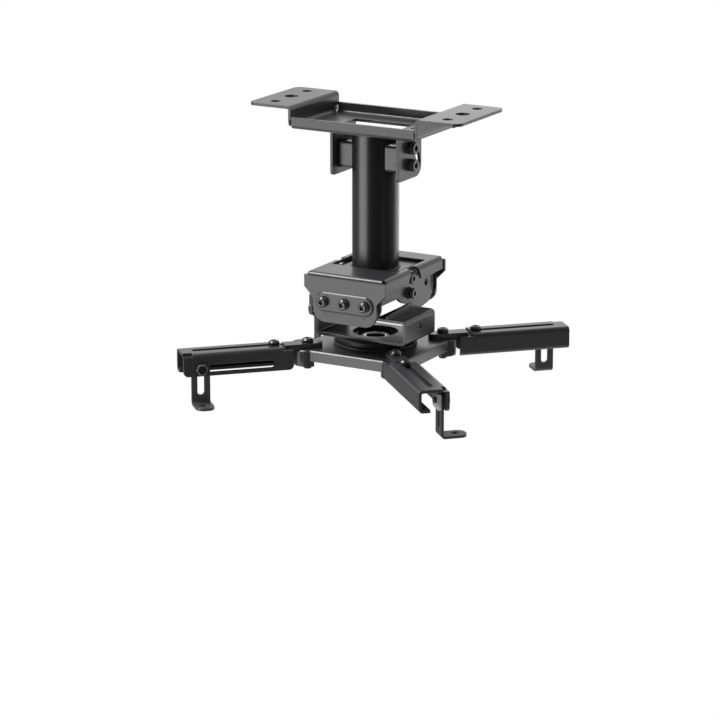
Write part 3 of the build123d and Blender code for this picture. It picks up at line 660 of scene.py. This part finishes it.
def grow(name, tree, places, body, slot, **values):
    """Runs a geometry tree on a set of places and keeps its result as a plain mesh piece."""
    seed = bpy.data.meshes.new(name + "_places")
    seed.from_pydata([tuple(place) for place in places], [], [])
    maker = bpy.data.objects.new(name + "_maker", seed)
    bpy.context.scene.collection.objects.link(maker)
    modifier = maker.modifiers.new("grow", "NODES")
    modifier.node_group = tree
    for item in tree.interface.items_tree:
        if item.in_out == "INPUT" and item.name in values:
            modifier[item.identifier] = values[item.name]
    ready = maker.evaluated_get(bpy.context.evaluated_depsgraph_get())
    mesh = bpy.data.meshes.new_from_object(ready)
    maker.modifiers.remove(modifier)
    bpy.data.objects.remove(maker)
    if not mesh.polygons:
        raise RuntimeError(name + " has no faces")
    mesh.name = name
    mesh.shade_smooth()
    keep_piece(name, mesh, body)


def head_places(node, axis, depth):
    """Middle of each screw head's side, for a node with heads on both sides of an axis."""
    low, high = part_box(node)
    middle = [(a + b) / 2 for a, b in zip(low, high)]
    ends = []
    for end in (low[axis] + depth, high[axis] - depth):
        spot = list(middle)
        spot[axis] = end
        ends.append(spot)
    return ends


def roll_row():
    """How far the outer roll screws lie to each side, and the height of their row."""
    low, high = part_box("roll_lock_screws")
    head_radius = (high[Z_AXIS] - low[Z_AXIS]) / 2
    return high[X_AXIS] - head_radius, (low[Z_AXIS] + high[Z_AXIS]) / 2


class MOUNT_OT_knurls(bpy.types.Operator):
    """Fine knurl round each socket head"""
    bl_idname = "mount.knurls"
    bl_label = "Socket knurls"

    def execute(self, context):
        d = detail()
        tree = knurl_tree()
        black = bpy.data.materials["black_oxide"]
        about_x = (0, math.pi / 2, 0)
        about_y = (math.pi / 2, 0, 0)
        tilt = [spot for node in ("tilt_pivot_screws", "tilt_lock_screws")
                for spot in head_places(node, X_AXIS, TILT_HEAD["depth"])]
        pitch = [spot for node in ("pitch_pivot_screws", "pitch_lock_screws")
                 for spot in head_places(node, X_AXIS, PITCH_HEAD["depth"])]
        reach, height = roll_row()
        ends = head_places("roll_lock_screws", Y_AXIS, ROLL_HEAD["depth"])
        roll = [(x, end[Y_AXIS], height) for x in (-reach, 0, reach) for end in ends]
        for name, spots, body, head, turn in (
            ("knurl_tilt", tilt, "post", TILT_HEAD, about_x),
            ("knurl_pitch", pitch, "tray", PITCH_HEAD, about_x),
            ("knurl_roll", roll, "post", ROLL_HEAD, about_y),
        ):
            grow(name, tree, spots, body, "black_fastener", Radius=head["radius"],
                 Rise=d.knurl_rise, Length=head["knurl"], Count=d.knurl_count, Turn=turn,
                 Material=black)
        return {"FINISHED"}


class MOUNT_OT_threads(bpy.types.Operator):
    """Thread crests on the arm pivot bolts' open ends and in the tray's wall holes"""
    bl_idname = "mount.threads"
    bl_label = "Threads"

    def execute(self, context):
        tree = thread_tree()
        pitch = detail().thread_pitch
        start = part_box("arm_pivot_bolts")[0][Z_AXIS] + BOLT_TIP
        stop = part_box("arm_pivot_nuts")[0][Z_AXIS] - NUT_GAP
        reach = PIVOT_CIRCLE / math.sqrt(2)
        spots = [(x, y, start) for x in (-reach, reach) for y in (-reach, reach)]
        grow("thread_pivot_bolts", tree, spots, "hub", "black_fastener",
             Radius=BOLT_RADIUS, Crest=BOLT_CREST, Pitch=pitch,
             Count=int((stop - start) / pitch) + 1, Material=bpy.data.materials["black_oxide"])
        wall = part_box("swivel_tray")[1][X_AXIS]
        depth = WALL_HOLE_INSET + (WALL_HOLE_CRESTS - 1) * WALL_HOLE_PITCH
        starts = [(x, 0, WALL_HOLE_HEIGHT) for x in (-wall + WALL_HOLE_INSET, wall - depth)]
        grow("thread_tray_holes", tree, starts, "tray", "post_coat",
             Radius=WALL_HOLE_RADIUS, Crest=WALL_HOLE_CREST, Pitch=WALL_HOLE_PITCH,
             Count=WALL_HOLE_CRESTS, Turn=(0, math.pi / 2, 0),
             Material=bpy.data.materials["smooth_post_coat"])
        return {"FINISHED"}


class MOUNT_OT_weld(bpy.types.Operator):
    """Weld round the post's foot, where the window leaves it open"""
    bl_idname = "mount.weld"
    bl_label = "Post weld"

    def execute(self, context):
        bead = detail().weld_bead
        low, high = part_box("post_tube")
        radius = high[X_AXIS] + BEAD_STANDOFF * bead
        height = low[Z_AXIS] + BEAD_LIFT * bead
        step = (WELD_STOP - WELD_START) / (WELD_BEADS - 1)
        angles = [WELD_START + step * i for i in range(WELD_BEADS)]
        spots = [(radius * math.cos(angle), radius * math.sin(angle), height) for angle in angles]
        grow("weld_post_foot", weld_tree(), spots, "post", "post_coat", Bead=bead,
             Material=bpy.data.materials["smooth_post_coat"])
        return {"FINISHED"}


# Details in the sheet


def sheet_mesh(name, corners, faces):
    """A mesh in the sheet's coat."""
    mesh = bpy.data.meshes.new(name)
    mesh.from_pydata(corners, [], faces)
    mesh.materials.append(bpy.data.materials["satin_powder_coat"])
    return mesh


def slot_outline(reach, radius, steps):
    """Points round a slot: two half circles whose centres lie a reach to each side."""
    points = []
    for way in (1, -1):
        for i in range(steps + 1):
            angle = math.pi * i / steps - math.pi / 2
            x = reach + radius * math.cos(angle)
            points.append((way * x, way * radius * math.sin(angle)))
    return points


class MOUNT_OT_pad_slopes(bpy.types.Operator):
    """Pressed slope round the raised pad on each tongue"""
    bl_idname = "mount.pad_slopes"
    bl_label = "Pad slopes"

    def execute(self, context):
        reach, height = roll_row()
        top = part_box("upper_yoke")[1][Y_AXIS] - PAD_SUNK
        inner = PAD_RADIUS - PAD_SUNK
        rings = (
            (inner, top),
            (PAD_RADIUS + PAD_SLOPE, top - PAD_RISE),
            (inner, top - PAD_RISE),
        )
        corners, faces = [], []
        for side in (-1, 1):
            start = len(corners)
            for radius, y in rings:
                outline = slot_outline(reach, radius, PAD_STEPS)
                corners += [(x, side * y, height + z) for x, z in outline]
            count = len(outline)
            for ring in range(len(rings)):
                here = start + ring * count
                there = start + (ring + 1) % len(rings) * count
                for i in range(count):
                    j = (i + 1) % count
                    quad = (here + i, here + j, there + j, there + i)
                    faces.append(quad if side < 0 else quad[::-1])
        mesh = sheet_mesh("pad_slopes", corners, faces)
        mesh.shade_smooth()
        mesh.set_sharp_from_angle(angle=PAD_CREASE)
        keep_piece("pad_slopes", mesh, "post")
        return {"FINISHED"}


class MOUNT_OT_tray_lips(bpy.types.Operator):
    """Low upright lip on each tray flange, from the pitch ear to the tray's front"""
    bl_idname = "mount.tray_lips"
    bl_label = "Tray lips"

    def execute(self, context):
        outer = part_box("roll_cradle")[1][X_AXIS] - LIP_SHEET - LIP_PLAY
        outline = [
            (LIP_FLANGE_FRONT, LIP_FOOT), (LIP_BACK, LIP_FOOT), (LIP_BACK, LIP_BACK_TOP),
            (LIP_FRONT + LIP_CORNER, LIP_FRONT_TOP), (LIP_FRONT, LIP_FRONT_TOP - LIP_CORNER),
            (LIP_FRONT, LIP_FRONT_FOOT),
        ]
        count = len(outline)
        corners, faces = [], []
        for left in (-outer, outer - LIP_SHEET):
            start = len(corners)
            for x in (left, left + LIP_SHEET):
                corners += [(x, y, z) for y, z in outline]
            faces.append([start + i for i in reversed(range(count))])
            faces.append([start + count + i for i in range(count)])
            for i in range(count):
                j = (i + 1) % count
                faces.append((start + i, start + j, start + count + j, start + count + i))
        mesh = sheet_mesh("tray_lips", corners, faces)
        keep_piece("tray_lips", mesh, "tray")
        return {"FINISHED"}


class MOUNT_OT_punch_marks(bpy.types.Operator):
    """Small punch marks above and below the roll screws"""
    bl_idname = "mount.punch_marks"
    bl_label = "Punch marks"

    def execute(self, context):
        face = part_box("upper_yoke")[1][Y_AXIS] - PAD_RISE
        spots = [(x, y, z) for y in (-face, face) for x in (-PUNCH_REACH, PUNCH_REACH)
                 for z in PUNCH_HEIGHTS]
        grow("punch_marks", dot_tree(), spots, "post", "black_coat", Radius=PUNCH_RADIUS,
             Material=bpy.data.materials["black_oxide"])
        return {"FINISHED"}


# Stage


def facing(place, aim):
    """Rotation that turns a lamp or camera at a place towards its aim."""
    return (Vector(aim) - Vector(place)).to_track_quat("-Z", "Y").to_euler()


def area_lamp(name, place, aim, size, power):
    data = bpy.data.lights.new(name, "AREA")
    data.shape = "RECTANGLE"
    data.size, data.size_y = size
    data.energy = power
    lamp = bpy.data.objects.new(name, data)
    lamp.location = place
    lamp.rotation_euler = facing(place, aim)
    lamp.visible_camera = False
    bpy.context.scene.collection.objects.link(lamp)


def add_lamps(target):
    """Softboxes where the faces mirror them to the camera, and a weak fill for the arms' sides."""
    area_lamp("top_softbox", (-1.05, -0.6, 1.7), target, size=(0.9, 0.9), power=50.0)
    area_lamp("front_left_softbox", (-1.55, -2.08, -0.85), target, size=(2.0, 1.7), power=39.0)
    area_lamp("right_softbox", (1.25, 2.15, -0.85), target, size=(1.0, 1.5), power=7.0)
    post_right = (0.06, 0.0, -0.05)
    area_lamp("back_softbox", (-0.38, 1.05, 0.27), post_right, size=(0.45, 0.4), power=0.35)
    area_lamp("rear_softbox", (0.1, 2.5, -0.75), target, size=(1.2, 1.2), power=8.0)
    right_arm = (0.12, 0.12, -0.2)
    area_lamp("right_fill", (1.15, -0.45, -0.60), right_arm, size=(0.4, 0.34), power=0.2)


def floor_material():
    """Pale floor that is white where it is seen but keeps a share of the light and shadow."""
    material, tree, shader = start_material("pale_floor")
    shader.inputs["Base Color"].default_value = (FLOOR_GREY, FLOOR_GREY, FLOOR_GREY, 1)
    shader.inputs["Roughness"].default_value = 0.9
    glow = add_node(tree, "ShaderNodeEmission", Strength=1.0)
    path = tree.nodes.new("ShaderNodeLightPath").outputs
    seen = math_node(tree, "MAXIMUM", path["Is Camera Ray"], path["Is Glossy Ray"])
    seen = math_node(tree, "MAXIMUM", seen, path["Is Transmission Ray"])
    share = math_node(tree, "MULTIPLY", seen, FLOOR_GLOW_SHARE)
    mixed = mix_shaders(tree, share, shader.outputs[0], glow.outputs[0])
    tree.links.new(mixed, tree.nodes["Material Output"].inputs["Surface"])
    return material


def add_floor(drop):
    mesh = bpy.data.meshes.new("floor")
    corners = [(-1, -1), (1, -1), (1, 1), (-1, 1)]
    mesh.from_pydata([(x * FLOOR_HALF, y * FLOOR_HALF, -drop) for x, y in corners], [], [(0, 1, 2, 3)])
    mesh.materials.append(floor_material())
    floor = bpy.data.objects.new("floor", mesh)
    bpy.context.scene.collection.objects.link(floor)


def studio_world(near_side):
    """White where it is seen, softer as light, dimmer in reflections of the near and low sides."""
    near_dots, near_glow = (-0.2, 0.5), (1.0, 0.06)
    low_heights, low_glow = (-0.12, 0.1), (0.24, 1.0)
    world = bpy.data.worlds.new("studio")
    bpy.context.scene.world = world
    world.use_nodes = True
    tree = world.node_tree
    tree.nodes.clear()
    path = tree.nodes.new("ShaderNodeLightPath").outputs
    way = tree.nodes.new("ShaderNodeTexCoord").outputs["Generated"]
    height = add_node(tree, "ShaderNodeSeparateXYZ", {"Vector": way}).outputs["Z"]
    nearness = vector_node(tree, "DOT_PRODUCT", way, near_side)
    fade = map_range(tree, nearness, near_dots, near_glow)
    rise = map_range(tree, height, low_heights, low_glow)
    glow = math_node(tree, "MULTIPLY", fade, rise)
    seen = add_node(tree, "ShaderNodeBackground", Color=WHITE, Strength=1.0)
    mirrored = add_node(tree, "ShaderNodeBackground", {"Strength": glow}, Color=WHITE)
    light = add_node(tree, "ShaderNodeBackground", Color=WHITE, Strength=WORLD_LIGHT)
    glossy = math_node(tree, "MAXIMUM", path["Is Glossy Ray"], path["Is Transmission Ray"])
    unseen = mix_shaders(tree, glossy, light.outputs[0], mirrored.outputs[0])
    whole = mix_shaders(tree, path["Is Camera Ray"], unseen, seen.outputs[0])
    add_node(tree, "ShaderNodeOutputWorld", {"Surface": whole})


def add_camera(eye, target, lens):
    data = bpy.data.cameras.new("photo_camera")
    data.lens = lens
    data.sensor_width = SENSOR_WIDTH
    camera = bpy.data.objects.new("photo_camera", data)
    camera.location = eye
    camera.rotation_euler = facing(eye, target)
    bpy.context.scene.collection.objects.link(camera)
    bpy.context.scene.camera = camera


class MOUNT_OT_stage(bpy.types.Operator):
    """Pale floor, soft studio light and the camera"""
    bl_idname = "mount.stage"
    bl_label = "Stage"

    def execute(self, context):
        s = context.scene.mount_stage
        context.scene.view_settings.view_transform = "Standard"
        eye, target = Vector(s.eye), Vector(s.target)
        add_floor(s.floor_drop)
        studio_world((eye - target).normalized())
        add_lamps(target)
        add_camera(eye, target, s.lens)
        return {"FINISHED"}


class MOUNT_PT_sidebar(bpy.types.Panel):
    bl_idname = "MOUNT_PT_sidebar"
    bl_label = "Ceiling Mount"
    bl_space_type = "VIEW_3D"
    bl_region_type = "UI"
    bl_category = "Ceiling Mount"

    def draw(self, context):
        scene = context.scene
        for settings in (scene.mount_coat, scene.mount_detail, scene.mount_stage):
            box = self.layout.box()
            for key in settings.bl_rna.properties.keys():
                if key not in {"rna_type", "name"}:
                    box.prop(settings, key)
        for operator in OPERATORS:
            self.layout.operator(operator.bl_idname)


GROUPS = (CoatSettings, DetailSettings, StageSettings)
OPERATORS = (
    MOUNT_OT_shared_effects, MOUNT_OT_sheet, MOUNT_OT_post, MOUNT_OT_fasteners, MOUNT_OT_swivel,
    MOUNT_OT_knurls, MOUNT_OT_threads, MOUNT_OT_weld, MOUNT_OT_pad_slopes, MOUNT_OT_tray_lips,
    MOUNT_OT_punch_marks, MOUNT_OT_stage,
)
CLASSES = GROUPS + OPERATORS + (MOUNT_PT_sidebar,)


def register():
    for cls in CLASSES:
        bpy.utils.register_class(cls)
    bpy.types.Scene.mount_coat = bpy.props.PointerProperty(type=CoatSettings)
    bpy.types.Scene.mount_detail = bpy.props.PointerProperty(type=DetailSettings)
    bpy.types.Scene.mount_stage = bpy.props.PointerProperty(type=StageSettings)


def unregister():
    del bpy.types.Scene.mount_coat
    del bpy.types.Scene.mount_detail
    del bpy.types.Scene.mount_stage
    for cls in reversed(CLASSES):
        bpy.utils.unregister_class(cls)


def main():
    register()
    for operator in OPERATORS:
        area, name = operator.bl_idname.split(".")
        getattr(getattr(bpy.ops, area), name)()


if __name__ == "__main__":
    main()
